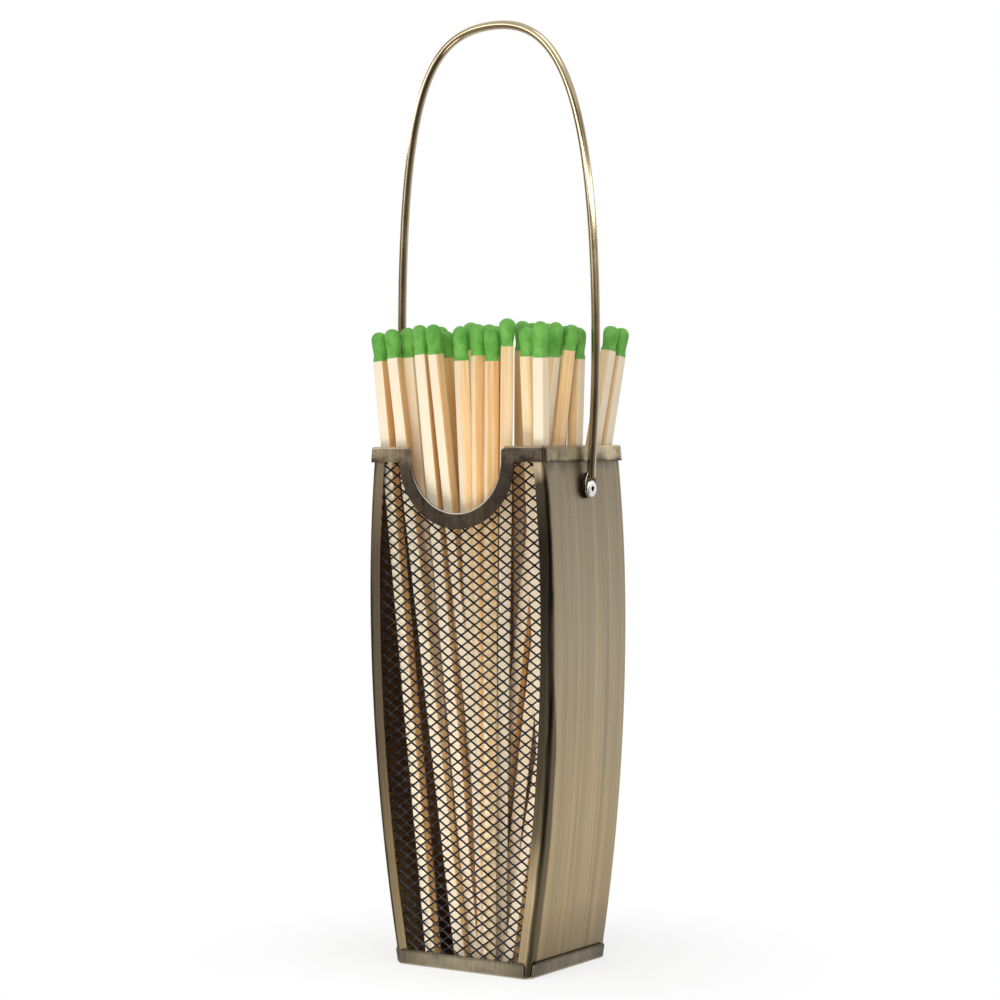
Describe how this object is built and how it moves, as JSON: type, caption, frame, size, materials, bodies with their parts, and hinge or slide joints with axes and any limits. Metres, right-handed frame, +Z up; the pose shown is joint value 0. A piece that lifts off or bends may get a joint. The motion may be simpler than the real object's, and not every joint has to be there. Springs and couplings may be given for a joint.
{
  "type": "match holder",
  "caption": "Tall tapering sheet-metal holder for long matches, with a diamond mesh front, a notched folded rim, a swinging wire bail and loose matches standing in it.",
  "frame": {"origin": "centre of the flat underside of the base tray", "axes": "+Z up; -Y towards the mesh front with the finger notch; +X to the right seen from the front, along the bail's swing axis"},
  "size_m": [0.0958, 0.0605, 0.37],
  "materials": {
    "brushed_brass": "brushed antique brass, streaked",
    "dark_bronze": "antique brass darkened by handling",
    "wire_brass": "satin antique brass wire",
    "rivet_metal": "satin",
    "match_wood": "bare softwood, matte"
  },
  "bodies": {
    "holder": {"base_tray": "brushed_brass", "left_side_panel": "brushed_brass", "right_side_panel": "brushed_brass", "back_panel": "brushed_brass", "front_mesh": "dark_bronze", "top_rim": "dark_bronze", "rivet_left": "rivet_metal", "rivet_right": "rivet_metal", "match_01": "match_wood", "match_02": "match_wood", "match_03": "match_wood", "match_05": "match_wood", "match_06": "match_wood", "match_08": "match_wood", "match_09": "match_wood", "match_10": "match_wood", "match_11": "match_wood", "match_12": "match_wood", "match_14": "match_wood", "match_15": "match_wood", "match_16": "match_wood", "match_17": "match_wood", "match_18": "match_wood", "match_19": "match_wood", "match_20": "match_wood", "match_21": "match_wood", "match_22": "match_wood", "match_23": "match_wood", "match_24": "match_wood", "match_25": "match_wood", "match_26": "match_wood", "match_27": "match_wood", "match_28": "match_wood"},
    "handle": {"handle": "wire_brass"},
    "match_04": {"match_04": "match_wood"},
    "match_07": {"match_07": "match_wood"},
    "match_13": {"match_13": "match_wood"}
  },
  "joints": [
    {"name": "handle_swing", "type": "hinge", "parent": "holder", "child": "handle", "pos_m": [0, 0, 0.1863], "axis": [1, 0, 0], "range_deg": [-160, 160]},
    {"name": "match_04_lift", "type": "slide", "parent": "holder", "child": "match_04", "axis": [-0.0575, -0.0587, 0.9966], "range_m": [0, 0.2]},
    {"name": "match_07_lift", "type": "slide", "parent": "holder", "child": "match_07", "axis": [-0.0115, -0.0406, 0.9991], "range_m": [0, 0.2]},
    {"name": "match_13_lift", "type": "slide", "parent": "holder", "child": "match_13", "axis": [0.0475, -0.034, 0.9983], "range_m": [0, 0.2]}
  ]
}
